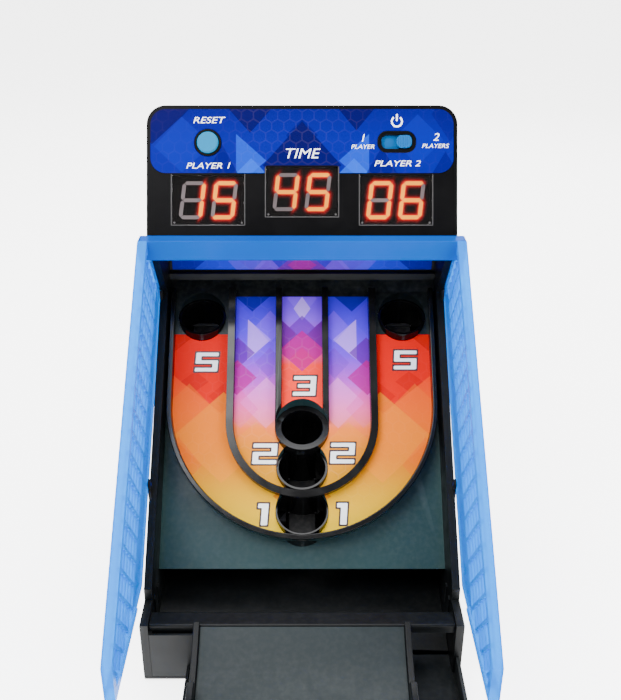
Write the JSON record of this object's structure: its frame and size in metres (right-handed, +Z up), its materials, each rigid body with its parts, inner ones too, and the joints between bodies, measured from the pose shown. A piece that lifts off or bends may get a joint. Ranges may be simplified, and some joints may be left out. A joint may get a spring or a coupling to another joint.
{
  "type": "tabletop alley-roll target game",
  "caption": "Tabletop alley-roll game: lane with a jump ramp, sloping target board with scoring holes in U rails, slotted guards, leaning scoreboard with displays.",
  "frame": {"origin": "middle of the footprint on the surface that the feet stand on", "axes": "+X to the player's right, +Y away from the player towards the scoreboard, +Z up"},
  "size_m": [0.282, 0.62, 0.4297],
  "materials": {
    "black_plastic": "moulded, fine satin grain",
    "gloss_black": "glossy moulded black",
    "board_plastic": "glossy dark grey",
    "lane_plastic": "smooth dark grey",
    "score_black": "glossy black",
    "display_black": "matt black",
    "outer_print": "printed film, red to yellow",
    "middle_print": "printed film, blue to yellow",
    "inner_print": "printed film, violet to pink",
    "back_print": "printed film, blue and violet",
    "score_print": "printed film, royal blue",
    "guard_blue": "see-through blue plastic",
    "guard_screw": "dark blue",
    "flap_plastic": "dark grey",
    "part_plastic": "dark grey",
    "sensor_laminate": "tan phenolic laminate",
    "board_green": "green laminate",
    "smoke_lens": "dark red smoke",
    "lit_led": "lit orange",
    "unlit_led": "pale grey, not lit",
    "button_blue": "sky blue",
    "knob_blue": "bright blue",
    "steel": "plated",
    "speaker_grey": "grey",
    "cell_jacket": "printed jacket",
    "wire_red": "insulated wire",
    "foot_rubber": "soft black"
  },
  "bodies": {
    "machine": {"base_tray": "black_plastic", "rubber_feet": "foot_rubber", "left_side_wall": "black_plastic", "right_side_wall": "black_plastic", "back_wall": "black_plastic", "rear_cover": "black_plastic", "back_graphic": "back_print", "target_board": "board_plastic", "outer_rail": "gloss_black", "middle_rail": "gloss_black", "inner_rails": "gloss_black", "outer_graphic": "outer_print", "middle_graphic": "middle_print", "inner_graphic": "inner_print", "cup_five_left": "gloss_black", "cup_five_right": "gloss_black", "cup_three": "gloss_black", "cup_two": "gloss_black", "cup_one": "gloss_black", "flap_pins": "steel", "sensor_boards": "sensor_laminate", "score_switches": "part_plastic", "return_floor": "black_plastic", "jump_ramp": "black_plastic", "lane_bed": "lane_plastic", "left_lane_rail": "black_plastic", "right_lane_rail": "black_plastic", "ball_gutter": "black_plastic", "left_guard": "guard_blue", "right_guard": "guard_blue", "guard_crossbar": "guard_blue", "guard_screws": "guard_screw", "scoreboard_front": "score_black", "scoreboard_back": "score_black", "scoreboard_graphic": "score_print", "window_player_one": "smoke_lens", "window_time": "smoke_lens", "window_player_two": "smoke_lens", "display_player_one": "display_black", "display_time": "display_black", "display_player_two": "display_black", "lit_segments": "lit_led", "unlit_segments": "unlit_led", "main_board": "board_green", "reset_switch": "part_plastic", "player_switch": "steel", "speaker": "speaker_grey", "battery_box": "black_plastic", "batteries": "cell_jacket", "battery_contacts": "steel", "wiring": "wire_red", "case_screws": "steel"},
    "flap_five_left_body": {"flap_five_left": "flap_plastic"},
    "flap_five_right_body": {"flap_five_right": "flap_plastic"},
    "flap_three_body": {"flap_three": "flap_plastic"},
    "flap_two_body": {"flap_two": "flap_plastic"},
    "flap_one_body": {"flap_one": "flap_plastic"},
    "reset_button_body": {"reset_button": "button_blue"},
    "player_knob_body": {"player_knob": "knob_blue"},
    "battery_door_body": {"battery_door": "black_plastic"}
  },
  "joints": [
    {"name": "flap_five_left_hinge", "type": "hinge", "parent": "machine", "child": "flap_five_left_body", "pos_m": [-0.094, 0.29508, 0.21157], "axis": [1, 0, 0], "range_deg": [0, 40], "stiffness_Nm_per_rad": 0.0012, "springref_deg": -25.78},
    {"name": "flap_five_right_hinge", "type": "hinge", "parent": "machine", "child": "flap_five_right_body", "pos_m": [0.094, 0.29508, 0.21157], "axis": [1, 0, 0], "range_deg": [0, 40], "stiffness_Nm_per_rad": 0.0012, "springref_deg": -25.78},
    {"name": "flap_three_hinge", "type": "hinge", "parent": "machine", "child": "flap_three_body", "pos_m": [0, 0.23054, 0.1097], "axis": [1, 0, 0], "range_deg": [0, 40], "stiffness_Nm_per_rad": 0.0012, "springref_deg": -25.78},
    {"name": "flap_two_hinge", "type": "hinge", "parent": "machine", "child": "flap_two_body", "pos_m": [0, 0.19896, 0.0963], "axis": [1, 0, 0], "range_deg": [0, 40], "stiffness_Nm_per_rad": 0.0012, "springref_deg": -25.78},
    {"name": "flap_one_hinge", "type": "hinge", "parent": "machine", "child": "flap_one_body", "pos_m": [0, 0.16568, 0.08217], "axis": [1, 0, 0], "range_deg": [0, 40], "stiffness_Nm_per_rad": 0.0012, "springref_deg": -25.78},
    {"name": "reset_button_slide", "type": "slide", "parent": "machine", "child": "reset_button_body", "axis": [0, 0.891, -0.454], "range_m": [0, 0.002], "stiffness_N_per_m": 250, "springref_m": -0.003},
    {"name": "player_knob_slide", "type": "slide", "parent": "machine", "child": "player_knob_body", "axis": [1, 0, 0], "range_m": [-0.0126, 0]},
    {"name": "battery_door_hinge", "type": "hinge", "parent": "machine", "child": "battery_door_body", "pos_m": [0, 0.3084, 0.152], "axis": [1, 0, 0], "range_deg": [0, 100]}
  ]
}
